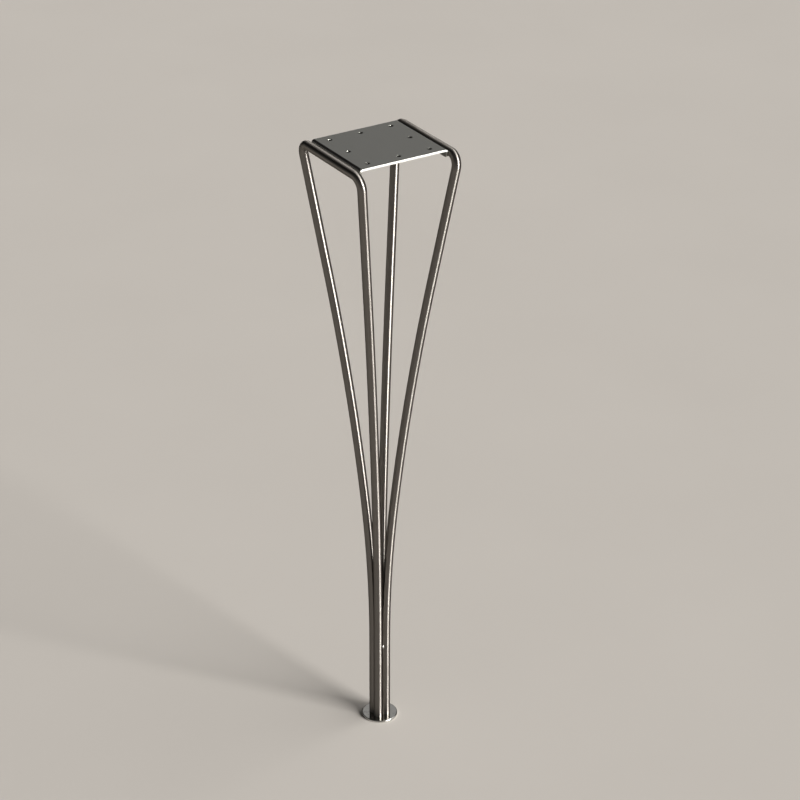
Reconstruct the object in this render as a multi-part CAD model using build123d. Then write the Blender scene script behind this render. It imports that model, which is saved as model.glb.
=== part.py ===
from build123d import *
from math import atan2, cos, hypot, radians, sin, tan
import os

# Table leg of two bent round bars. Each bar is a hoop: a level bridge at the top and two legs
# that run in to the middle, where all four strands stand upright in one bundle on a round foot.
# A folded plate between the two bridges screws to the table top.
# Millimetres, +Z up. Origin: centre of the foot's underside. X goes across the hoops, Y along the bridges.

# Bars
LEG_HEIGHT = 710.0          # floor to the top of the bridges and the plate
BAR_DIAMETER = 10.0         # solid round bar
BRIDGE_SPACING = 117.0      # between the two bridges' axes, along X
BRIDGE_LENGTH = 120.5       # between the corners where bridge and leg axes would meet, along Y
CORNER_RADIUS = 12.5        # bar axis, at each end of a bridge
STEM_HEIGHT = 102.0         # upright run of the bundle, from the floor to the start of the sweep
LOWER_SWEEP_RADIUS = 1750.0  # bar axis, from upright to the change of curve
SWEEP_CHANGE = 6.0          # degrees from upright where the lower sweep becomes the wider upper one
STRAIGHT_RUN = 150.0        # straight end of a leg's axis, from the upper sweep to the bridge's corner
STRAND_CLEARANCE = 0.1      # between neighbouring strands in the bundle

# Folded mounting plate
SHEET = 2.5                 # thickness
FOLD_INNER_RADIUS = 1.0
FLANGE_DEPTH = 9.0          # plate top to the flange's lower edge
PLATE_LENGTH = 97.0         # along the bridges
FLANGE_CORNER_RADIUS = 2.5  # lower corners of both flanges
FLANGE_CLEARANCE = 0.1      # between a flange and its bar
EDGE_BREAK = 0.25           # rounding of the plate's cut edges at the top
SCREW_HOLE = 4.5            # diameter
HOLE_PITCH = 37.5           # between neighbouring holes, along X and along Y

# Foot
FOOT_DIAMETER = 41.0
FOOT_THICKNESS = 2.5
FOOT_TOP_ROUND = 1.0
FOOT_LOWER_ROUND = 0.3

# Welds
TACK_DROP = 6.5             # middle of the tack welds below the top of the upright run
TACK_DIAMETER = 3.8
TACK_LENGTH = 5.5
TACK_PITCH = 1.7            # from one ripple to the next
BEAD_DIAMETER = 4.4         # beads under the plate, between flange and bar
BEAD_LENGTH = 20.0
BEAD_PITCH = 2.6
BEAD_INSET = 5.0            # end of a bead from the end of the flange or of the bridge's straight run

bar_radius = BAR_DIAMETER / 2
bridge_x = BRIDGE_SPACING / 2
bridge_y = BRIDGE_LENGTH / 2
bridge_z = LEG_HEIGHT - bar_radius
strand_offset = bar_radius + STRAND_CLEARANCE / 2
TOUCH = 0.001               # runs shorter than this are left out, where one curve follows another

fold_outer_radius = FOLD_INNER_RADIUS + SHEET
plate_width = BRIDGE_SPACING - BAR_DIAMETER - 2 * FLANGE_CLEARANCE


def leg_axis():
    """Corners of one leg's axis, as (distance out from the stem, height) in its plane, and their radii."""
    run = hypot(bridge_x - strand_offset, bridge_y - strand_offset)
    change = radians(SWEEP_CHANGE)
    change_out = LOWER_SWEEP_RADIUS * (1 - cos(change))
    change_z = STEM_HEIGHT + LOWER_SWEEP_RADIUS * sin(change)

    # The bridge's corner seen from the change of curve: how far ahead and how far aside it lies.
    ahead = (run - change_out) * sin(change) + (bridge_z - change_z) * cos(change)
    aside = (run - change_out) * cos(change) - (bridge_z - change_z) * sin(change)
    # The upper sweep turns just enough for its straight run to end at that corner.
    setback = (ahead**2 + aside**2 - STRAIGHT_RUN**2) / (2 * (ahead + STRAIGHT_RUN))
    turn = atan2(aside, ahead - setback)
    upper_sweep_radius = setback / tan(turn / 2)

    corners = [
        (0, FOOT_THICKNESS),
        (0, STEM_HEIGHT + LOWER_SWEEP_RADIUS * tan(change / 2)),
        (change_out + setback * sin(change), change_z + setback * cos(change)),
        (run, bridge_z),
    ]
    return corners, [LOWER_SWEEP_RADIUS, upper_sweep_radius, CORNER_RADIUS]


def arc_setback(before, corner, after, radius):
    """Distance from a corner to where its rounding starts."""
    return radius / tan(radians((before - corner).get_angle(after - corner)) / 2)


def rounded_path(points, radii):
    """Straight runs through the points, with every inner corner rounded to its own radius."""
    edges = []
    start = points[0]
    for before, corner, after, radius in zip(points, points[1:], points[2:], radii):
        back = (before - corner).normalized()
        ahead = (after - corner).normalized()
        setback = arc_setback(before, corner, after, radius)
        arc_start = corner + back * setback
        arc_end = corner + ahead * setback
        arc_middle = corner + (back + ahead).normalized() * (hypot(setback, radius) - radius)
        if (arc_start - start).length > TOUCH:
            edges.append(Line(start, arc_start))
            start = arc_start
        edges.append(ThreePointArc(start, arc_middle, arc_end))
        start = arc_end
    edges.append(Line(start, points[-1]))
    return Wire(edges)


def hoop_points(side):
    """Corners of one hoop's axis, from its front foot to its back foot. side is -1 or +1 along X."""
    corners, radii = leg_axis()
    run = corners[-1][0]
    out_x = (bridge_x - strand_offset) / run
    out_y = (bridge_y - strand_offset) / run
    front = [
        Vector(side * (strand_offset + out * out_x), -strand_offset - out * out_y, z)
        for out, z in corners
    ]
    back = [Vector(point.X, -point.Y, point.Z) for point in reversed(front)]
    return front + back, radii + radii[::-1]


def make_hoop(side):
    """One bar, bent into a bridge and two legs."""
    points, radii = hoop_points(side)
    return sweep(Plane(points[0]) * Circle(bar_radius), path=rounded_path(points, radii))


def bridge_straight():
    """Half the length of a bridge's straight run."""
    points = hoop_points(1)[0]
    return bridge_y - arc_setback(*points[2:5], CORNER_RADIUS)


def make_plate():
    """Sheet folded down along both sides, with three rows of screw holes and none in the middle."""
    outer = Pos(0, LEG_HEIGHT) * Rectangle(plate_width, FLANGE_DEPTH, align=(Align.CENTER, Align.MAX))
    outer = fillet(outer.vertices().group_by(Axis.Y)[-1], fold_outer_radius)
    inner_width = plate_width - 2 * SHEET
    inner_depth = FLANGE_DEPTH - SHEET
    inner = Pos(0, LEG_HEIGHT - SHEET) * Rectangle(inner_width, inner_depth, align=(Align.CENTER, Align.MAX))
    inner = fillet(inner.vertices().group_by(Axis.Y)[-1], FOLD_INNER_RADIUS)
    plate = extrude(Plane.XZ * (outer - inner), PLATE_LENGTH / 2, both=True)

    flange_corners = plate.edges().filter_by(Axis.X).group_by(Axis.Z)[0]
    plate = fillet(flange_corners, FLANGE_CORNER_RADIUS)

    for spot in GridLocations(HOLE_PITCH, HOLE_PITCH, 3, 3):
        if spot.position.length > HOLE_PITCH / 2:
            plate -= Pos(0, 0, LEG_HEIGHT) * spot * Cylinder(SCREW_HOLE / 2, 4 * SHEET)

    top_cut_edges = plate.edges().filter_by(Axis.X).group_by(Axis.Z)[-1]
    return fillet(top_cut_edges, EDGE_BREAK)


def make_foot():
    """Round disc that the four strands stand on."""
    foot = Cylinder(FOOT_DIAMETER / 2, FOOT_THICKNESS, align=(Align.CENTER, Align.CENTER, Align.MIN))
    foot = fillet(foot.edges().group_by(Axis.Z)[-1], FOOT_TOP_ROUND)
    return fillet(foot.edges().group_by(Axis.Z)[0], FOOT_LOWER_ROUND)


def make_weld(middle, along, length, diameter, pitch, neighbours):
    """Row of overlapping drops of weld metal, cut to the pieces that it joins."""
    gaps = max(1, round((length - diameter) / pitch))
    step = along * (length - diameter) / gaps
    drops = [Pos(middle + step * (i - gaps / 2)) * Sphere(diameter / 2) for i in range(gaps + 1)]
    return drops[0].fuse(*drops[1:]) - neighbours


def make_tack(side, bars):
    """Tack in the groove between the two hoops' strands. side is -1 in front, +1 behind."""
    middle = Vector(0, side * (strand_offset + bar_radius / 3), STEM_HEIGHT - TACK_DROP)
    return make_weld(middle, Vector(0, 0, 1), TACK_LENGTH, TACK_DIAMETER, TACK_PITCH, bars)


def make_bead(side, end, neighbours):
    """Bead under the plate, in the groove between one flange and its bar. end is -1 in front, +1 behind."""
    bead_x = bridge_x - bar_radius + BEAD_DIAMETER / 5
    bead_y = min(PLATE_LENGTH / 2, bridge_straight()) - BEAD_INSET - BEAD_LENGTH / 2
    middle = Vector(side * bead_x, end * bead_y, LEG_HEIGHT - FLANGE_DEPTH)
    return make_weld(middle, Vector(0, 1, 0), BEAD_LENGTH, BEAD_DIAMETER, BEAD_PITCH, neighbours)


hoop_left = make_hoop(-1)
hoop_right = make_hoop(1)
mounting_plate = make_plate()
foot_disc = make_foot()
hoops = [hoop_left, hoop_right]
tack_welds = Compound(children=[make_tack(side, hoops) for side in (-1, 1)])
plate_welds = Compound(children=[
    make_bead(side, end, hoops + [mounting_plate])
    for side in (-1, 1)
    for end in (-1, 1)
])

os.makedirs("parts", exist_ok=True)
for name, piece in {
    "hoop_left": hoop_left,
    "hoop_right": hoop_right,
    "mounting_plate": mounting_plate,
    "foot_disc": foot_disc,
    "tack_welds": tack_welds,
    "plate_welds": plate_welds,
}.items():
    export_step(piece, "parts/" + name + ".step")
    print(name, round(piece.volume, 1), piece.bounding_box())
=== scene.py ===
# %% [markdown]
# # A chromed table leg
# The leg is made of two bent round bars, a folded plate that screws under a table top, a round
# foot and a few welds. The CAD model holds every piece at its real size. This lesson models clean,
# smooth skins over those solids, gives each its chrome, and then sets a camera, a floor and the
# light. Lengths are in metres, in the CAD model's own frame: +Z is up, and the foot stands on
# z = 0.

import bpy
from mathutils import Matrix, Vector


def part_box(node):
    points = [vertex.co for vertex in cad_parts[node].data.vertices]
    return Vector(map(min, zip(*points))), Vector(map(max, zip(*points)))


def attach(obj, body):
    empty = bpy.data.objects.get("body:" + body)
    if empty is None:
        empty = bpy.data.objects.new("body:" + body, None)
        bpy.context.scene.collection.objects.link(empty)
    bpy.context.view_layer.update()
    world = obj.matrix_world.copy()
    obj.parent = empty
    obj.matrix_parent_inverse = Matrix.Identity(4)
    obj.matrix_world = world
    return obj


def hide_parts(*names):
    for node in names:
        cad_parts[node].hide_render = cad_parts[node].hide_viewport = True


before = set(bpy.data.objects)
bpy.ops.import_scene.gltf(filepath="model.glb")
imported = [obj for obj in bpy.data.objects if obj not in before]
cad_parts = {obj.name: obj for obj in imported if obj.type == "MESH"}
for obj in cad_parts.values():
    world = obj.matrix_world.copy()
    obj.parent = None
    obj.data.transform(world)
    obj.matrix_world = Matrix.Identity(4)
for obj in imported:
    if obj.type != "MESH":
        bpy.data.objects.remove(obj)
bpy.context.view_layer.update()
print("CAD nodes:", sorted(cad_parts))

# %% [markdown]
# ## How a bar is bent
# Each bar is a hoop: up from the foot, out in a long sweep, over a tight bend into the level
# bridge, and down again on the other side. A curve with a round bevel could make it, but its rings
# crowd in tight bends and its ends stay open. Here a ring of vertices is extruded along each
# straight run and spun around each bend, just as a bending machine works, so every ring is round
# and square to the bar. First come the corners of the bar's axis. The outermost are read from the
# CAD node's box.

# %% Corners of the bar's axis
from math import atan2, cos, hypot, radians, sin, tan

import bmesh
import bpy
from mathutils import Matrix, Vector

MM = 0.001
BAR_RADIUS = 5 * MM
BRIDGE_LENGTH = 120.5 * MM         # between the corners of a bridge's axis
CORNER_RADIUS = 12.5 * MM
STEM_HEIGHT = 102 * MM             # upright run of the four strands
LOWER_SWEEP_RADIUS = 1750 * MM
SWEEP_CHANGE = radians(6)          # lean at which the sweep becomes wider
STRAIGHT_RUN = 150 * MM            # from the upper sweep to the bridge's corner

hoop_low, hoop_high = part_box("hoop_right")
strand_offset = hoop_low.x + BAR_RADIUS
bridge_x = hoop_high.x - BAR_RADIUS
bridge_y = BRIDGE_LENGTH / 2
bridge_z = hoop_high.z - BAR_RADIUS


def leg_axis():
    """Corners of one leg's axis in its plane, as (distance out, height), and the bends' radii."""
    run = hypot(bridge_x - strand_offset, bridge_y - strand_offset)
    change_out = LOWER_SWEEP_RADIUS * (1 - cos(SWEEP_CHANGE))
    change_z = STEM_HEIGHT + LOWER_SWEEP_RADIUS * sin(SWEEP_CHANGE)
    # How far ahead and aside the bridge's corner lies, seen from the change of sweep.
    ahead = (run - change_out) * sin(SWEEP_CHANGE) + (bridge_z - change_z) * cos(SWEEP_CHANGE)
    aside = (run - change_out) * cos(SWEEP_CHANGE) - (bridge_z - change_z) * sin(SWEEP_CHANGE)
    # The upper sweep turns just enough for its straight run to end at that corner.
    setback = (ahead**2 + aside**2 - STRAIGHT_RUN**2) / (2 * (ahead + STRAIGHT_RUN))
    turn = atan2(aside, ahead - setback)
    corners = [
        (0, hoop_low.z),
        (0, STEM_HEIGHT + LOWER_SWEEP_RADIUS * tan(SWEEP_CHANGE / 2)),
        (change_out + setback * sin(SWEEP_CHANGE), change_z + setback * cos(SWEEP_CHANGE)),
        (run, bridge_z),
    ]
    return corners, [LOWER_SWEEP_RADIUS, setback / tan(turn / 2), CORNER_RADIUS]


def hoop_axis():
    """Corners and bend radii of the whole right hoop, from its front foot to its back foot."""
    corners, radii = leg_axis()
    run = corners[-1][0]
    out_x = (bridge_x - strand_offset) / run
    out_y = (bridge_y - strand_offset) / run
    front = [
        Vector((strand_offset + out * out_x, -strand_offset - out * out_y, z))
        for out, z in corners
    ]
    back = [Vector((point.x, -point.y, point.z)) for point in reversed(front)]
    return front + back, radii + radii[::-1]


print("bend radii, mm:", [round(radius / MM, 1) for radius in leg_axis()[1]])

# %% [markdown]
# ## One hoop
# A real bar is pushed through the bending machine from one end to the other, and so is this one.
# With no window open, spin turns against the right hand, so its angle is given as negative.

# %% Extrude and spin one bar
AROUND = 48                        # vertices in a ring
BEND_STEPS = 24                    # rings in a bend, 4 degrees apart in a tight corner
SKIN_DEPTH = 0.02 * MM             # how far inside the solid the skin lies, to stay in the CAD box
SHARP_EDGE = radians(40)           # an edge that turns further than this counts as sharp


def deselect_all():
    bpy.ops.object.select_all(action="DESELECT")


def extrude_by(move):
    """In edit mode, extrudes what is selected."""
    bpy.ops.mesh.extrude_region_move(TRANSFORM_OT_translate={"value": move})


def turn_faces_out():
    """In edit mode, makes every face of the piece look outward."""
    bpy.ops.mesh.select_all(action="SELECT")
    bpy.ops.mesh.normals_make_consistent(inside=False)


def bend_bar(points, radii):
    """A ring led along the points, with each inner corner bent to its radius."""
    deselect_all()
    skin_radius = BAR_RADIUS - SKIN_DEPTH
    bpy.ops.mesh.primitive_circle_add(vertices=AROUND, radius=skin_radius, location=points[0])
    bar = bpy.context.object
    bpy.ops.object.transform_apply(location=True, rotation=True, scale=True)
    bpy.ops.object.mode_set(mode="EDIT")
    here = points[0]
    for before, corner, after, radius in zip(points, points[1:], points[2:], radii):
        onward = (corner - before).normalized()
        ahead = (after - corner).normalized()
        turn = onward.angle(ahead)
        setback = radius * tan(turn / 2)
        bend_start = corner - onward * setback
        # The upper sweep follows the lower one with no straight run between them.
        if (bend_start - here).length > BAR_RADIUS:
            extrude_by(bend_start - here)
        axis = onward.cross(ahead).normalized()
        centre = bend_start + axis.cross(onward) * radius
        bpy.ops.mesh.spin(steps=BEND_STEPS, angle=-turn, center=centre, axis=axis)
        here = corner + ahead * setback
    extrude_by(points[-1] - here)
    bpy.ops.mesh.select_all(action="SELECT")
    bpy.ops.mesh.fill_holes(sides=0)  # 0 stands for any number of sides
    turn_faces_out()
    bpy.ops.object.mode_set(mode="OBJECT")
    bpy.ops.object.shade_smooth_by_angle(angle=SHARP_EDGE)
    return bar


hoop_right = bend_bar(*hoop_axis())
hoop_right.name = "bent_hoop_right"
print("right hoop:", len(hoop_right.data.vertices) // AROUND, "rings")

# %% [markdown]
# ## A map of the bar
# Polish lines circle the bar, so the material has to know which way the bar runs at every point.
# A UV map tells it: U runs along the bar and V around it, both in metres. Every extrude or spin
# added whole rings of vertices in order, so a vertex's number gives its ring and its place in the
# ring.

# %% Unroll the bar into a UV map
BAR_MAP = "along_bar"


def unroll_bar(bar):
    """UV map of a bar: U along it and V around it, in metres. Gives back the bar's length."""
    rings = len(bar.data.vertices) // AROUND
    spots = [vertex.co for vertex in bar.data.vertices]
    centres = [sum(spots[r * AROUND:(r + 1) * AROUND], Vector()) / AROUND for r in range(rings)]
    along = [0.0]
    for centre, following in zip(centres, centres[1:]):
        along.append(along[-1] + (following - centre).length)
    width = 2 * BAR_RADIUS * sin(radians(180) / AROUND)
    uv = bar.data.uv_layers.new(name=BAR_MAP)
    for face in bar.data.polygons:
        places = [index % AROUND for index in face.vertices]
        wraps = len(places) == 4 and max(places) - min(places) > 1
        for loop, index, place in zip(face.loop_indices, face.vertices, places):
            if wraps and place == 0:
                place = AROUND
            uv.data[loop].uv = (along[index // AROUND], place * width)
    widest = max((spots[i] - centres[i // AROUND]).length for i in range(len(spots)))
    print("bar length", round(along[-1], 4), "m, widest ring radius", round(widest / MM, 4), "mm")
    return along[-1]


bar_length = unroll_bar(hoop_right)

# %% [markdown]
# ## The other hoop
# The second bar went through the same bends the other way round, so it is a mirrored copy of the
# first. It gets a mesh of its own. A mirrored mesh is inside out, so its faces are turned outward
# again.

# %% Mirror the hoop


def copy_of(piece):
    """A copy with a mesh of its own, and the only thing selected."""
    deselect_all()
    copy = piece.copy()
    copy.data = piece.data.copy()
    bpy.context.scene.collection.objects.link(copy)
    copy.select_set(True)
    bpy.context.view_layer.objects.active = copy
    return copy


def dress(piece, node):
    """The piece rides on the leg's one body and stands for a CAD node."""
    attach(piece, "root")
    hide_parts(node)


hoop_left = copy_of(hoop_right)
hoop_left.name = "bent_hoop_left"
hoop_left.scale.x = -1
bpy.ops.object.transform_apply(location=True, rotation=True, scale=True)
bpy.ops.object.mode_set(mode="EDIT")
turn_faces_out()
bpy.ops.object.mode_set(mode="OBJECT")
dress(hoop_left, "hoop_left")
dress(hoop_right, "hoop_right")
print("hoops:", hoop_left.name, "and", hoop_right.name)

# %% [markdown]
# ## The folded plate
# The real plate is a sheet with both sides folded down. The model is made in the same order: a
# flat sheet, two edges extruded down, the folds rounded with a bevel, the flanges' lower corners
# rounded, and then thickness. Elements are picked by their place, because numbers change with
# every step.

# %% Helpers for picking and for modifiers
NEAR = 0.01 * MM                   # slack when an element is picked by its place


def pick(piece, kind, test):
    """In edit mode, selects only the verts or edges whose middle passes the test."""
    bpy.ops.mesh.select_mode(type={"verts": "VERT", "edges": "EDGE"}[kind])
    bpy.ops.mesh.select_all(action="DESELECT")
    mesh = bmesh.from_edit_mesh(piece.data)
    picked = 0
    for element in getattr(mesh, kind):
        corners = [element] if kind == "verts" else element.verts
        middle = sum((vertex.co for vertex in corners), Vector()) / len(corners)
        if test(middle):
            element.select_set(True)
            picked += 1
    mesh.select_flush_mode()
    bmesh.update_edit_mesh(piece.data)
    return picked


def apply_modifier(piece, kind, **settings):
    """Adds one modifier to a piece and applies it at once."""
    bpy.context.view_layer.objects.active = piece
    modifier = piece.modifiers.new(kind.title(), kind)
    for setting, value in settings.items():
        setattr(modifier, setting, value)
    bpy.ops.object.modifier_apply(modifier=modifier.name)


print("slack when picking, mm:", NEAR / MM)

# %% Fold and thicken the sheet
SHEET = 2.5 * MM
INWARD = -1                        # the thickness grows inward from the outer skin
FOLD_RADIUS = 3.5 * MM             # outside of the fold
FOLD_STEPS = 12
FLANGE_CORNER_RADIUS = 2.5 * MM
FLANGE_CORNER_STEPS = 8
CIRCULAR = 0.5                     # profile of a bevel that is part of a circle

plate_low, plate_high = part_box("mounting_plate")


def on_fold(middle):
    """True on the two long edges of the flat sheet."""
    on_side = abs(middle.x) > plate_high.x - NEAR and abs(middle.y) < NEAR
    return on_side and middle.z > plate_high.z - NEAR


deselect_all()
bpy.ops.mesh.primitive_plane_add(size=1, location=(0, 0, plate_high.z))
plate = bpy.context.object
plate.name = "folded_plate"
plate.scale = (plate_high.x - plate_low.x, plate_high.y - plate_low.y, 1)
bpy.ops.object.transform_apply(location=True, rotation=True, scale=True)

bpy.ops.object.mode_set(mode="EDIT")
pick(plate, "edges", lambda middle: abs(middle.x) > plate_high.x - NEAR)
extrude_by((0, 0, plate_low.z - plate_high.z))
pick(plate, "edges", on_fold)
bpy.ops.mesh.bevel(offset=FOLD_RADIUS, segments=FOLD_STEPS, profile=CIRCULAR, affect="EDGES")
pick(plate, "verts", lambda corner: corner.z < plate_low.z + NEAR)
bpy.ops.mesh.bevel(
    offset=FLANGE_CORNER_RADIUS, segments=FLANGE_CORNER_STEPS, profile=CIRCULAR, affect="VERTICES",
)
turn_faces_out()
bpy.ops.object.mode_set(mode="OBJECT")
apply_modifier(plate, "SOLIDIFY", thickness=SHEET, offset=INWARD, use_even_offset=True)
print("folded sheet, mm:", [round(c / MM, 2) for c in plate.dimensions])

# %% [markdown]
# ## The screw holes
# A punch drives eight holes through the sheet, three rows of three without the middle one. One
# punch is modelled and copied to every hole, and a Boolean cuts with all of them at once.

# %% Punch the holes
SCREW_HOLE = 4.5 * MM              # diameter
HOLE_PITCH = 37.5 * MM
HOLE_AROUND = 48                   # vertices around a hole
PUNCH_LENGTH = 4 * SHEET


def join(pieces, name):
    """One piece of all these, with its origin at the frame's origin."""
    deselect_all()
    for piece in pieces:
        piece.select_set(True)
    bpy.context.view_layer.objects.active = pieces[0]
    bpy.ops.object.join()
    joined = bpy.context.object
    joined.name = name
    bpy.ops.object.transform_apply(location=True, rotation=True, scale=True)
    return joined


def copies_at(piece, spots, name):
    """A copy of the piece at each spot, all joined, in place of the piece itself."""
    copies = []
    for spot in spots:
        copy = copy_of(piece)
        copy.location = spot
        copies.append(copy)
    bpy.data.objects.remove(piece)
    return join(copies, name)


grid = [(column, row) for row in (-1, 0, 1) for column in (-1, 0, 1) if column or row]
deselect_all()
bpy.ops.mesh.primitive_cylinder_add(
    vertices=HOLE_AROUND, radius=SCREW_HOLE / 2, depth=PUNCH_LENGTH,
)
spots = [(column * HOLE_PITCH, row * HOLE_PITCH, plate_high.z) for column, row in grid]
punches = copies_at(bpy.context.object, spots, "punches")
apply_modifier(plate, "BOOLEAN", object=punches, operation="DIFFERENCE", solver="EXACT")
bpy.data.objects.remove(punches)
print("holes punched:", len(spots))

# %% [markdown]
# ## The plate's edges
# A punch pulls the sheet down with it and leaves a soft, rolled rim, which glints on the side that
# faces a window. Every other edge is broken only a little. No real edge is quite sharp, and even a
# narrow rounding catches a thin line of light.

# %% Roll the rims and break the edges
EDGE_BREAK = 0.25 * MM
EDGE_STEPS = 3
PUNCH_ROLL = 0.5 * MM
PUNCH_ROLL_STEPS = 4
FULL_WEIGHT = 100                  # the largest faces alone set the shading beside them


def hole_distance(spot):
    """Distance of a point from the axis of the nearest place in the grid of screw holes."""
    across = spot.x - HOLE_PITCH * round(spot.x / HOLE_PITCH)
    along = spot.y - HOLE_PITCH * round(spot.y / HOLE_PITCH)
    return hypot(across, along)


def on_hole_rim(middle):
    """True on the top edge of a screw hole."""
    return middle.z > plate_high.z - NEAR and hole_distance(middle) < SCREW_HOLE / 2 + NEAR


deselect_all()
plate.select_set(True)
bpy.context.view_layer.objects.active = plate
bpy.ops.object.mode_set(mode="EDIT")
rims = pick(plate, "edges", on_hole_rim)
bpy.ops.mesh.bevel(
    offset=PUNCH_ROLL, segments=PUNCH_ROLL_STEPS, profile=CIRCULAR, affect="EDGES",
)
bpy.ops.object.mode_set(mode="OBJECT")
bpy.ops.object.shade_smooth()
apply_modifier(
    plate, "BEVEL", width=EDGE_BREAK, segments=EDGE_STEPS,
    limit_method="ANGLE", angle_limit=SHARP_EDGE,
)
apply_modifier(plate, "WEIGHTED_NORMAL", mode="FACE_AREA", weight=FULL_WEIGHT)
dress(plate, "mounting_plate")
print("edges around the holes:", rims, "- faces of the plate:", len(plate.data.polygons))

# %% [markdown]
# ## The foot
# The foot is a disc blanked from plate in a press. The tool rolls the upper edge over and leaves
# the lower edge nearly sharp, so the two rims get different bevels.

# %% Extrude and bevel the foot
FOOT_TOP_ROUND = 1 * MM
FOOT_TOP_STEPS = 10
FOOT_LOWER_ROUND = 0.3 * MM
FOOT_LOWER_STEPS = 4
FOOT_AROUND = 160                  # vertices around the foot

foot_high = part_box("foot_disc")[1]
foot_rims = (
    (foot_high.z, FOOT_TOP_ROUND, FOOT_TOP_STEPS),
    (0, FOOT_LOWER_ROUND, FOOT_LOWER_STEPS),
)

deselect_all()
bpy.ops.mesh.primitive_circle_add(vertices=FOOT_AROUND, radius=foot_high.x, fill_type="NGON")
foot = bpy.context.object
foot.name = "blanked_foot"
bpy.ops.object.mode_set(mode="EDIT")
extrude_by((0, 0, foot_high.z))
for level, rounding, steps in foot_rims:
    pick(foot, "edges", lambda middle: abs(middle.z - level) < NEAR)
    bpy.ops.mesh.bevel(offset=rounding, segments=steps, profile=CIRCULAR, affect="EDGES")
turn_faces_out()
bpy.ops.object.mode_set(mode="OBJECT")
bpy.ops.object.shade_smooth()
apply_modifier(foot, "WEIGHTED_NORMAL", mode="FACE_AREA", weight=FULL_WEIGHT)
dress(foot, "foot_disc")
print("foot:", len(foot.data.polygons), "faces")

# %% [markdown]
# ## The tack welds
# A weld is a row of drops that froze one on another, and the chrome went over it. One drop, a
# sphere, is copied along the seam. A voxel remesh then melts the row into one skin, and smoothing
# softens the creases between the drops, as molten metal would. Two drops make a tack, and its copy
# sits behind.

# %% Melt drops into a tack weld
DROP_AROUND = 24                   # faces around a drop
DROP_RINGS = 16
VOXEL = 0.2 * MM
MELT_SHARE = 0.5                   # how far each round of smoothing goes
MELT_ROUNDS = 6
TACK_DIAMETER = 3.8 * MM
TACK_DROPS = 2


def melt_row(along, length, diameter, drops, name):
    """A row of drops melted into one skin, with its middle at the origin."""
    deselect_all()
    bpy.ops.mesh.primitive_uv_sphere_add(
        segments=DROP_AROUND, ring_count=DROP_RINGS, radius=diameter / 2,
    )
    step = along * (length - diameter) / (drops - 1)
    spots = [step * (drop - (drops - 1) / 2) for drop in range(drops)]
    row = copies_at(bpy.context.object, spots, name)
    apply_modifier(row, "REMESH", mode="VOXEL", voxel_size=VOXEL)
    apply_modifier(row, "SMOOTH", factor=MELT_SHARE, iterations=MELT_ROUNDS)
    bpy.ops.object.shade_smooth()
    return row


tack_low, tack_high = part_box("tack_welds")
tack_y = tack_high.y - TACK_DIAMETER / 2
tack_z = (tack_low.z + tack_high.z) / 2
tack_length = tack_high.z - tack_low.z
tack = melt_row(Vector((0, 0, 1)), tack_length, TACK_DIAMETER, TACK_DROPS, "tack")
tacks = copies_at(tack, [(0, side * tack_y, tack_z) for side in (-1, 1)], "tack_weld_drops")
dress(tacks, "tack_welds")
print("tacks:", len(tacks.data.polygons), "faces")

# %% [markdown]
# ## The beads under the plate
# Four longer welds hold the plate's flanges to the bars. They are made like the tack, one bead of
# seven drops and its copies, and they lie in the grooves under the plate, where only a low view
# finds them.

# %% Melt drops into the plate's beads
BEAD_DIAMETER = 4.4 * MM
BEAD_LENGTH = 20 * MM
BEAD_DROPS = 7
BEAD_SHIFT = BEAD_DIAMETER / 5     # from the bar's inner side outward, into the groove

bead_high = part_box("plate_welds")[1]
bead_x = bridge_x - BAR_RADIUS + BEAD_SHIFT
bead_y = bead_high.y - BEAD_LENGTH / 2
bead = melt_row(Vector((0, 1, 0)), BEAD_LENGTH, BEAD_DIAMETER, BEAD_DROPS, "bead")
spots = [(side * bead_x, end * bead_y, plate_low.z) for side in (-1, 1) for end in (-1, 1)]
beads = copies_at(bead, spots, "plate_weld_beads")
dress(beads, "plate_welds")
print("beads:", len(beads.data.polygons), "faces")

# %% [markdown]
# ## Colours and shader nodes
# Colours are written as sRGB hex values, as a painter's chart gives them, and one function turns
# them to the linear values that Blender works with. One small function adds a node, sets it and
# links it.

# %% Helpers for materials
NOISE_LOW, NOISE_HIGH = 0.3, 0.7   # nearly all of a noise texture lies between these


def linear(hex_colour):
    """Linear RGBA of an sRGB hex value."""
    parts = [int(hex_colour[i:i + 2], 16) / 255 for i in (1, 3, 5)]
    return [p / 12.92 if p <= 0.04045 else ((p + 0.055) / 1.055) ** 2.4 for p in parts] + [1.0]


def add_node(tree, kind, inputs=None, **settings):
    """Adds a node. An input is a value, or an output socket to link from."""
    node = tree.nodes.new(kind)
    for setting, value in settings.items():
        setattr(node, setting, value)
    for name, value in (inputs or {}).items():
        if isinstance(value, bpy.types.NodeSocket):
            tree.links.new(value, node.inputs[name])
        else:
            node.inputs[name].default_value = value
    return node


def start_material(name):
    """A new material, its node tree and its surface shader."""
    material = bpy.data.materials.new(name)
    material.use_nodes = True
    tree = material.node_tree
    return material, tree, tree.nodes["Principled BSDF"]


def paint(piece, *materials):
    """The materials become the piece's slots, in that order."""
    piece.data.materials.clear()
    for material in materials:
        piece.data.materials.append(material)


print("mid grey, linear:", round(linear("#808080")[0], 3))

# %% [markdown]
# ## Chrome on the bars
# The bars are drawn steel, polished on a belt that ran around them and then chromed. Very fine
# lines circle each bar. They smear reflections along the bar and keep them crisp across it, so a
# window becomes one long white line with sharp sides and the dark of the room fills the rest.
# Anisotropic does this without modelling any line. It needs a tangent, taken from the bar's UV map.
# The belt can't follow the tight bends, so the bridge was buffed on a soft wheel and mirrors more
# sharply. The same UV map tells how far a point lies from the bridge's middle.
# Specular Tint darkens the metal where it is seen edge on, which draws the dark sides of each bar.

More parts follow.
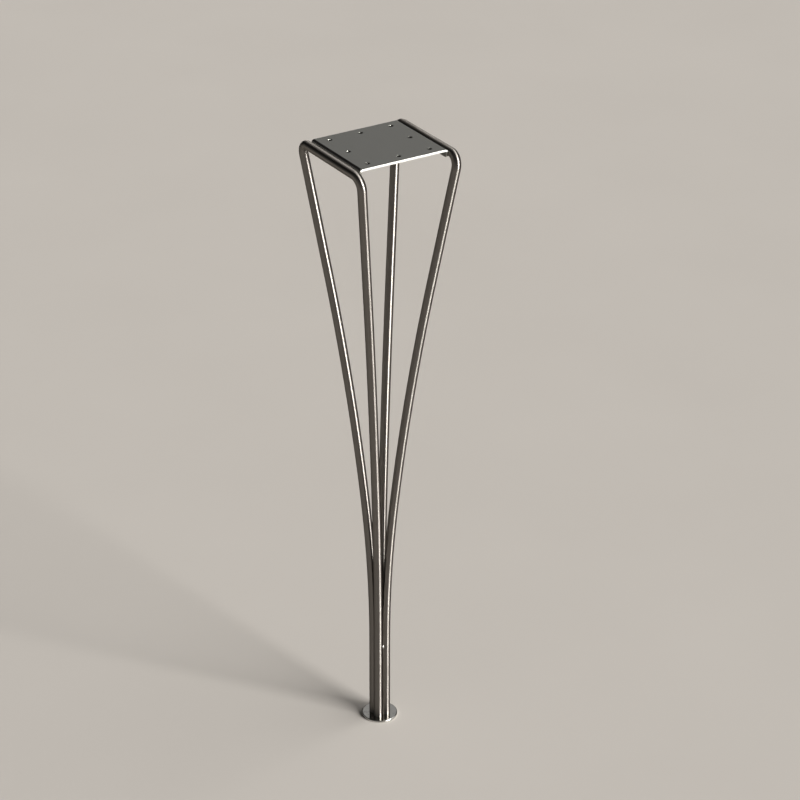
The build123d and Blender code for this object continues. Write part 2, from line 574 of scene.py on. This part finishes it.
# %% Chrome over a belt-polished bar
POLISH_SPACING = 1.5 * MM          # real lines are finer than 0.1 mm; coarser here, so they show
POLISH_LENGTH = 60 * MM            # more than once around the bar
POLISH_DEPTH = 0.02 * MM
SMUDGE_SIZE = 45 * MM
BELT_ROUGHNESS = 0.32, 0.36        # clean and smudged
BUFFED_HALF = 46 * MM              # from the bridge's middle to its bends
BEND_LENGTH = 21 * MM
BUFFED_SHARE = 0.45                # of the belt's roughness, left by the wheel


def bar_chrome():
    """Dark, mirror-like metal with soft bands and faint smudges, sharper on the bridge."""
    material, tree, shader = start_material("chrome_plate_on_belt_polished_bar")
    shader.inputs["Metallic"].default_value = 1.0
    shader.inputs["Anisotropic"].default_value = 1.0
    shader.inputs["Specular Tint"].default_value = linear("#383736")
    place = add_node(tree, "ShaderNodeTexCoord")
    smudge = add_node(tree, "ShaderNodeTexNoise", {
        "Vector": place.outputs["Object"], "Scale": 1 / SMUDGE_SIZE, "Detail": 4.0,
    })
    colour = add_node(tree, "ShaderNodeMix", {
        "Factor": smudge.outputs["Fac"], "A": linear("#7b7772"), "B": linear("#888480"),
    }, data_type="RGBA")
    tree.links.new(colour.outputs["Result"], shader.inputs["Base Color"])
    belt = add_node(tree, "ShaderNodeMapRange", {
        "Value": smudge.outputs["Fac"], "From Min": NOISE_LOW, "From Max": NOISE_HIGH,
        "To Min": BELT_ROUGHNESS[0], "To Max": BELT_ROUGHNESS[1],
    })
    along = add_node(tree, "ShaderNodeSeparateXYZ", {"Vector": place.outputs["UV"]})
    from_middle = add_node(tree, "ShaderNodeMath", {
        0: along.outputs["X"], 1: bar_length / 2,
    }, operation="SUBTRACT")
    away = add_node(tree, "ShaderNodeMath", {
        0: from_middle.outputs["Value"],
    }, operation="ABSOLUTE")
    buffed = add_node(tree, "ShaderNodeMapRange", {
        "Value": away.outputs["Value"],
        "From Min": BUFFED_HALF, "From Max": BUFFED_HALF + BEND_LENGTH,
        "To Min": BUFFED_SHARE, "To Max": 1.0,
    })
    rough = add_node(tree, "ShaderNodeMath", {
        0: belt.outputs["Result"], 1: buffed.outputs["Result"],
    }, operation="MULTIPLY")
    tree.links.new(rough.outputs["Value"], shader.inputs["Roughness"])
    stretch = add_node(tree, "ShaderNodeMapping", {
        "Vector": place.outputs["UV"], "Scale": (1 / POLISH_SPACING, 1 / POLISH_LENGTH, 1),
    })
    lines = add_node(tree, "ShaderNodeTexNoise", {
        "Vector": stretch.outputs["Vector"], "Scale": 1.0,
    })
    bump = add_node(tree, "ShaderNodeBump", {
        "Height": lines.outputs["Fac"], "Strength": 0.15, "Distance": POLISH_DEPTH,
    })
    tree.links.new(bump.outputs["Normal"], shader.inputs["Normal"])
    tangent = add_node(tree, "ShaderNodeTangent", direction_type="UV_MAP", uv_map=BAR_MAP)
    tree.links.new(tangent.outputs["Tangent"], shader.inputs["Tangent"])
    return material


bar_material = bar_chrome()
for hoop in (hoop_left, hoop_right):
    paint(hoop, bar_material)
print("bars:", bar_material.name)

# %% [markdown]
# ## Chrome on the plate
# Rolled sheet keeps fine grain lines in the rolling direction, and chrome over it is satin: it
# mirrors the backdrop as one soft grey. The ends were cut on a shear, which tears the steel. Chrome
# can't smooth that, so the cut ends are frosted and catch far more of the window's light than the
# flat top.

# %% Chrome over rolled sheet and over its sheared ends
GRAIN_SPACING = 0.6 * MM           # real grain is finer than 0.1 mm; coarser here, so it shows
GRAIN_LENGTH = 25 * MM
SATIN_ROUGHNESS = 0.17, 0.23       # from one grain line to the next
TEAR_SIZE = 1.5 * MM
TORN_ROUGHNESS = 0.46, 0.54        # from one tear to the next


def sheet_chrome():
    """Even grey with a soft sheen, broken by faint grain lines along the bridges."""
    material, tree, shader = start_material("satin_chrome_plate_on_rolled_sheet")
    shader.inputs["Metallic"].default_value = 1.0
    place = add_node(tree, "ShaderNodeTexCoord")
    stretch = add_node(tree, "ShaderNodeMapping", {
        "Vector": place.outputs["Object"],
        "Scale": (1 / GRAIN_SPACING, 1 / GRAIN_LENGTH, 1 / GRAIN_SPACING),
    })
    grain = add_node(tree, "ShaderNodeTexNoise", {
        "Vector": stretch.outputs["Vector"], "Scale": 1.0, "Detail": 3.0,
    })
    colour = add_node(tree, "ShaderNodeMix", {
        "Factor": grain.outputs["Fac"], "A": linear("#bcbcb6"), "B": linear("#c8c8c3"),
    }, data_type="RGBA")
    tree.links.new(colour.outputs["Result"], shader.inputs["Base Color"])
    rough = add_node(tree, "ShaderNodeMapRange", {
        "Value": grain.outputs["Fac"], "From Min": NOISE_LOW, "From Max": NOISE_HIGH,
        "To Min": SATIN_ROUGHNESS[0], "To Max": SATIN_ROUGHNESS[1],
    })
    tree.links.new(rough.outputs["Result"], shader.inputs["Roughness"])
    return material


def sheared_chrome():
    """A frosted line of light along each cut end, uneven where the shear tore the steel."""
    material, tree, shader = start_material("chrome_plate_on_sheared_edge")
    shader.inputs["Metallic"].default_value = 1.0
    place = add_node(tree, "ShaderNodeTexCoord")
    torn = add_node(tree, "ShaderNodeTexNoise", {
        "Vector": place.outputs["Object"], "Scale": 1 / TEAR_SIZE, "Detail": 4.0,
    })
    colour = add_node(tree, "ShaderNodeMix", {
        "Factor": torn.outputs["Fac"], "A": linear("#c2c2bd"), "B": linear("#d4d4d0"),
    }, data_type="RGBA")
    tree.links.new(colour.outputs["Result"], shader.inputs["Base Color"])
    rough = add_node(tree, "ShaderNodeMapRange", {
        "Value": torn.outputs["Fac"], "From Min": NOISE_LOW, "From Max": NOISE_HIGH,
        "To Min": TORN_ROUGHNESS[0], "To Max": TORN_ROUGHNESS[1],
    })
    tree.links.new(rough.outputs["Result"], shader.inputs["Roughness"])
    return material


plate_top, plate_ends = sheet_chrome(), sheared_chrome()
print("plate:", plate_top.name, "and", plate_ends.name)

# %% [markdown]
# ## Inside the folds and the holes
# The underside of the plate and the inner faces of its flanges are dull and blotchy. Their grey is
# darkened as painted shade under the plate, and the walls of the punched holes are painted nearly
# black as shade inside the holes. Every face of the plate then gets its finish by its place.

# %% Painted shade under the plate and in the holes
BLOTCH_SIZE = 6 * MM
STREAK_WIDTH = 0.4 * MM
STREAK_LENGTH = 3 * MM
ZONES = TOP, INSIDE, IN_HOLE, SHEARED = 0, 1, 2, 3  # places in the plate's list of materials


def dull_chrome_painted_shade():
    """Dull grey, a little blotchy, darkened as painted shade under the plate."""
    material, tree, shader = start_material("dull_chrome_darkened_as_painted_shade_under_the_plate")
    shader.inputs["Metallic"].default_value = 1.0
    shader.inputs["Roughness"].default_value = 0.42
    place = add_node(tree, "ShaderNodeTexCoord")
    blotch = add_node(tree, "ShaderNodeTexNoise", {
        "Vector": place.outputs["Object"], "Scale": 1 / BLOTCH_SIZE, "Detail": 5.0,
    })
    # these dark greys are painted shade under the plate
    colour = add_node(tree, "ShaderNodeMix", {
        "Factor": blotch.outputs["Fac"], "A": linear("#4b4a47"), "B": linear("#605f5b"),
    }, data_type="RGBA")
    tree.links.new(colour.outputs["Result"], shader.inputs["Base Color"])
    return material


def hole_wall_painted_shade():
    """Nearly black, painted shade inside the hole, with streaks down its wall."""
    material, tree, shader = start_material("painted_shade_in_the_screw_holes")
    shader.inputs["Metallic"].default_value = 1.0
    shader.inputs["Roughness"].default_value = 0.5
    place = add_node(tree, "ShaderNodeTexCoord")
    stretch = add_node(tree, "ShaderNodeMapping", {
        "Vector": place.outputs["Object"],
        "Scale": (1 / STREAK_WIDTH, 1 / STREAK_WIDTH, 1 / STREAK_LENGTH),
    })
    streaks = add_node(tree, "ShaderNodeTexNoise", {
        "Vector": stretch.outputs["Vector"], "Scale": 1.0,
    })
    # these near-black greys are painted shade inside the hole
    colour = add_node(tree, "ShaderNodeMix", {
        "Factor": streaks.outputs["Fac"], "A": linear("#201f1d"), "B": linear("#34322f"),
    }, data_type="RGBA")
    tree.links.new(colour.outputs["Result"], shader.inputs["Base Color"])
    return material


def plate_zone(face):
    """Which of the plate's materials a face gets."""
    middle = face.center
    if hole_distance(middle) < SCREW_HOLE / 2 + NEAR and middle.z < plate_high.z - PUNCH_ROLL:
        return IN_HOLE
    if abs(middle.y) > plate_high.y - EDGE_BREAK and middle.z > plate_high.z - SHEET - NEAR:
        return SHEARED
    under_sheet = middle.z < plate_high.z - SHEET + NEAR
    between_flanges = abs(middle.x) < plate_high.x - SHEET + NEAR
    return INSIDE if under_sheet and between_flanges else TOP


paint(plate, plate_top, dull_chrome_painted_shade(), hole_wall_painted_shade(), plate_ends)
for face in plate.data.polygons:
    face.material_index = plate_zone(face)
found = [face.material_index for face in plate.data.polygons]
print("faces on top, inside, in the holes, sheared:", [found.count(zone) for zone in ZONES])

# %% [markdown]
# ## Chrome on the foot
# The foot was polished on a wheel before it was chromed, so it mirrors sharply, with faint rings
# around its middle. It stands on the floor and gets kicked: small scuffs and grime dull it here and
# there.

# %% Chrome over a wheel-polished disc
WAVE_PERIOD = radians(360) / 20    # of a wave texture with a scale of 1
RING_SPACING = 5 * MM              # real rings are finer than 0.1 mm; coarser here, so they show
RING_DEPTH = 0.02 * MM
SCUFF_SIZE = 4 * MM
SCUFF_START, SCUFF_FULL = 0.56, 0.72  # levels of the noise
FOOT_ROUGHNESS = 0.07, 0.32        # polished and scuffed


def foot_chrome():
    """Sharp mirror with faint rings, and dull scuffs that break the reflection."""
    material, tree, shader = start_material("chrome_plate_on_wheel_polished_disc")
    shader.inputs["Metallic"].default_value = 1.0
    place = add_node(tree, "ShaderNodeTexCoord")
    scuffs = add_node(tree, "ShaderNodeTexNoise", {
        "Vector": place.outputs["Object"], "Scale": 1 / SCUFF_SIZE,
        "Detail": 6.0, "Roughness": 0.65,
    })
    worn = add_node(tree, "ShaderNodeMapRange", {
        "Value": scuffs.outputs["Fac"], "From Min": SCUFF_START, "From Max": SCUFF_FULL,
    })
    colour = add_node(tree, "ShaderNodeMix", {
        "Factor": worn.outputs["Result"], "A": linear("#c6c5c2"), "B": linear("#7d7a74"),
    }, data_type="RGBA")
    tree.links.new(colour.outputs["Result"], shader.inputs["Base Color"])
    rough = add_node(tree, "ShaderNodeMapRange", {
        "Value": worn.outputs["Result"], "To Min": FOOT_ROUGHNESS[0], "To Max": FOOT_ROUGHNESS[1],
    })
    tree.links.new(rough.outputs["Result"], shader.inputs["Roughness"])
    rings = add_node(tree, "ShaderNodeTexWave", {
        "Vector": place.outputs["Object"], "Scale": WAVE_PERIOD / RING_SPACING, "Distortion": 0.4,
    }, wave_type="RINGS", rings_direction="Z")
    bump = add_node(tree, "ShaderNodeBump", {
        "Height": rings.outputs["Fac"], "Strength": 0.05, "Distance": RING_DEPTH,
    })
    tree.links.new(bump.outputs["Normal"], shader.inputs["Normal"])
    return material


paint(foot, foot_chrome())
print("foot:", foot.data.materials[0].name)

# %% [markdown]
# ## Chrome on the welds
# The welds were only brushed before plating, and the chrome follows every ripple. A fine bump
# breaks their reflections, so that a weld sparkles where a polished bar shows one clean line.

# %% Chrome over brushed weld
RIPPLE_SIZE = 0.5 * MM
RIPPLE_DEPTH = 0.1 * MM


def weld_chrome():
    """Bright but uneven: small glints where the chrome follows the ripples."""
    material, tree, shader = start_material("chrome_plate_on_brushed_weld")
    shader.inputs["Metallic"].default_value = 1.0
    shader.inputs["Roughness"].default_value = 0.16
    place = add_node(tree, "ShaderNodeTexCoord")
    ripple = add_node(tree, "ShaderNodeTexNoise", {
        "Vector": place.outputs["Object"], "Scale": 1 / RIPPLE_SIZE, "Detail": 2.0,
    })
    colour = add_node(tree, "ShaderNodeMix", {
        "Factor": ripple.outputs["Fac"], "A": linear("#a8a6a2"), "B": linear("#cfcdc9"),
    }, data_type="RGBA")
    tree.links.new(colour.outputs["Result"], shader.inputs["Base Color"])
    bump = add_node(tree, "ShaderNodeBump", {
        "Height": ripple.outputs["Fac"], "Strength": 0.4, "Distance": RIPPLE_DEPTH,
    })
    tree.links.new(bump.outputs["Normal"], shader.inputs["Normal"])
    return material


weld_material = weld_chrome()
for weld in (tacks, beads):
    paint(weld, weld_material)
print("welds:", weld_material.name)

# %% [markdown]
# ## Camera
# The camera stands where the photographer stood: at eye height, in front of the leg and a little to
# its left, looking down. Where the edges of the bars, the plate and the foot cross the picture
# fixed its direction, distance and lens. A long lens matches the weak perspective of the
# photograph, and the small roll is the tilt of the camera in the hand. The camera's axes are worked
# out as three vectors, because a constraint that aims it at the leg couldn't give it that roll.

# %% Camera at the photograph's viewing angle
CAMERA_LENS = 115.0                # mm
SENSOR_WIDTH = 36.0                # mm
CAMERA_AZIMUTH = radians(32.21)
CAMERA_DEPRESSION = radians(27.76)
CAMERA_ROLL = radians(0.22)
CAMERA_DISTANCE = 2.782
AIM_HEIGHT = 0.4113
AIM_RIGHT = 0.0222                 # the leg stands a little left of the picture's middle

forward = Vector((
    sin(CAMERA_AZIMUTH) * cos(CAMERA_DEPRESSION),
    cos(CAMERA_AZIMUTH) * cos(CAMERA_DEPRESSION),
    -sin(CAMERA_DEPRESSION),
))
right = Vector((cos(CAMERA_AZIMUTH), -sin(CAMERA_AZIMUTH), 0))
level_up = right.cross(forward)
camera_x = right * cos(CAMERA_ROLL) + level_up * sin(CAMERA_ROLL)
camera_y = level_up * cos(CAMERA_ROLL) - right * sin(CAMERA_ROLL)
camera_data = bpy.data.cameras.new("camera")
camera_data.lens = CAMERA_LENS
camera_data.sensor_width = SENSOR_WIDTH
camera = bpy.data.objects.new("camera", camera_data)
bpy.context.scene.collection.objects.link(camera)
place = Matrix((camera_x, camera_y, -forward)).transposed().to_4x4()
place.translation = Vector((0, 0, AIM_HEIGHT)) + right * AIM_RIGHT - forward * CAMERA_DISTANCE
camera.matrix_world = place
bpy.context.scene.camera = camera
print("camera at", [round(c, 3) for c in place.translation])

# %% [markdown]
# ## Floor
# Polished metal has hardly any colour of its own: it shows what stands around it. So the floor
# matters as much as the bars. It is plain, pale and matte, so no panel of light glares in it from
# any side.

# %% Pale floor
FLOOR_SIZE = 80.0                  # so wide that it meets the horizon in low views
CLOUD_SIZE = 300 * MM


def floor_finish():
    """Pale, matte and faintly clouded."""
    material, tree, shader = start_material("matte_painted_floor")
    shader.inputs["Roughness"].default_value = 0.9
    shader.inputs["Specular IOR Level"].default_value = 0.0
    place = add_node(tree, "ShaderNodeTexCoord")
    cloud = add_node(tree, "ShaderNodeTexNoise", {
        "Vector": place.outputs["Object"], "Scale": 1 / CLOUD_SIZE, "Detail": 3.0,
    })
    colour = add_node(tree, "ShaderNodeMix", {
        "Factor": cloud.outputs["Fac"], "A": linear("#c6c1bb"), "B": linear("#cbc6c0"),
    }, data_type="RGBA")
    tree.links.new(colour.outputs["Result"], shader.inputs["Base Color"])
    return material


deselect_all()
bpy.ops.mesh.primitive_plane_add(size=FLOOR_SIZE)
floor = bpy.context.object
floor.name = "floor"
paint(floor, floor_finish())
print("floor:", FLOOR_SIZE, "m wide")

# %% [markdown]
# ## Light
# A lamp near the leg would light one side of the floor and leave the rest dark. Here the world is a
# dome with soft panels of light on it, as in a large studio, so the floor is even from every side.
# A panel is placed by its turn to the right of straight ahead and by its height above the horizon.
# - The window stands low to the right of the camera. It is the white line down every bar, and it
#   throws the soft shadow to the left.
# - The ceiling panel hangs to the right and helps to light the floor.
# - The backdrop is straight ahead, to be mirrored in the flat plate and the foot. The camera looks
#   down on the foot more steeply, so the foot mirrors a higher strip of it, and its grading sets
#   both greys.
#
# The rest of the dome stays dark, and so do the bridges and the sides of the bars.

# %% One panel of light
world = bpy.data.worlds.new("studio_dome")
bpy.context.scene.world = world
world.use_nodes = True
dome = world.node_tree

view = add_node(dome, "ShaderNodeTexCoord")
ahead = add_node(dome, "ShaderNodeMapping", {
    "Vector": view.outputs["Generated"], "Rotation": (0, 0, CAMERA_AZIMUTH),
})
toward = add_node(dome, "ShaderNodeSeparateXYZ", {"Vector": ahead.outputs["Vector"]})
azimuth = add_node(dome, "ShaderNodeMath", {
    0: toward.outputs["X"], 1: toward.outputs["Y"],
}, operation="ARCTAN2")
elevation = add_node(dome, "ShaderNodeMath", {0: toward.outputs["Z"]}, operation="ARCSINE")


def panel(turn, height, half_width, half_height, soft, glow):
    """Light of a panel whose edges fade over the soft angle. Angles are in degrees.

    The glow is a value or an output socket.
    """
    light = glow
    for angle, middle, half in ((azimuth, turn, half_width), (elevation, height, half_height)):
        off = add_node(dome, "ShaderNodeMath", {
            0: angle.outputs["Value"], 1: radians(middle),
        }, operation="SUBTRACT")
        away = add_node(dome, "ShaderNodeMath", {0: off.outputs["Value"]}, operation="ABSOLUTE")
        inside = add_node(dome, "ShaderNodeMapRange", {
            "Value": away.outputs["Value"], "To Min": 1.0, "To Max": 0.0,
            "From Min": radians(half - soft / 2), "From Max": radians(half + soft / 2),
        }, interpolation_type="SMOOTHSTEP")
        both = add_node(dome, "ShaderNodeMath", {
            0: light, 1: inside.outputs["Result"],
        }, operation="MULTIPLY")
        light = both.outputs["Value"]
    return light


print("dome faces", round(CAMERA_AZIMUTH, 3), "rad from +Y")

# %% [markdown]
# ## The panels
# Now the panels are placed and their light is added up. The horizon glows a little, like the walls
# of a large room. The dome above it is nearly dark, but for a weak skylight right overhead, which
# the plate mirrors when it is seen from above.

# %% Window, ceiling and backdrop
HORIZON_GLOW = 0.16
DOME_GLOW = 0.012
WALLS_FADE = radians(6), radians(28)      # heights between which the walls turn to dome
SKYLIGHT_GLOW = 0.22
SKYLIGHT_FADE = radians(60), radians(80)  # heights between which the skylight comes up
WINDOW_GLOW = 35.0
CEILING_GLOW = 2.8
PLATE_GREY = 0.18                         # of the backdrop, where the plate mirrors it
FOOT_GREY = 0.39                          # and where the foot does
GREY_FADE = radians(24), radians(33)      # heights between which one grey turns to the other

walls = add_node(dome, "ShaderNodeMapRange", {
    "Value": elevation.outputs["Value"], "From Min": WALLS_FADE[0], "From Max": WALLS_FADE[1],
    "To Min": HORIZON_GLOW, "To Max": DOME_GLOW,
}, interpolation_type="SMOOTHSTEP")
skylight = add_node(dome, "ShaderNodeMapRange", {
    "Value": elevation.outputs["Value"],
    "From Min": SKYLIGHT_FADE[0], "From Max": SKYLIGHT_FADE[1],
    "To Min": 0.0, "To Max": SKYLIGHT_GLOW,
}, interpolation_type="SMOOTHSTEP")
grading = add_node(dome, "ShaderNodeMapRange", {
    "Value": elevation.outputs["Value"], "From Min": GREY_FADE[0], "From Max": GREY_FADE[1],
    "To Min": PLATE_GREY, "To Max": FOOT_GREY,
}, interpolation_type="SMOOTHSTEP")
window = panel(
    turn=124, height=13.5, half_width=14, half_height=13.5, soft=3, glow=WINDOW_GLOW,
)
ceiling = panel(turn=82, height=55, half_width=32, half_height=20, soft=8, glow=CEILING_GLOW)
backdrop = panel(
    turn=1, height=20, half_width=6, half_height=20, soft=3, glow=grading.outputs["Result"],
)
panels = [window, ceiling, backdrop, skylight.outputs["Result"]]
total = walls.outputs["Result"]
for light in panels:
    added = add_node(dome, "ShaderNodeMath", {0: total, 1: light}, operation="ADD")
    total = added.outputs["Value"]
background = dome.nodes["Background"]
background.inputs["Color"].default_value = linear("#fffdfa")
dome.links.new(total, background.inputs["Strength"])
bpy.context.scene.view_settings.view_transform = "Standard"
print("panels of light:", len(panels))
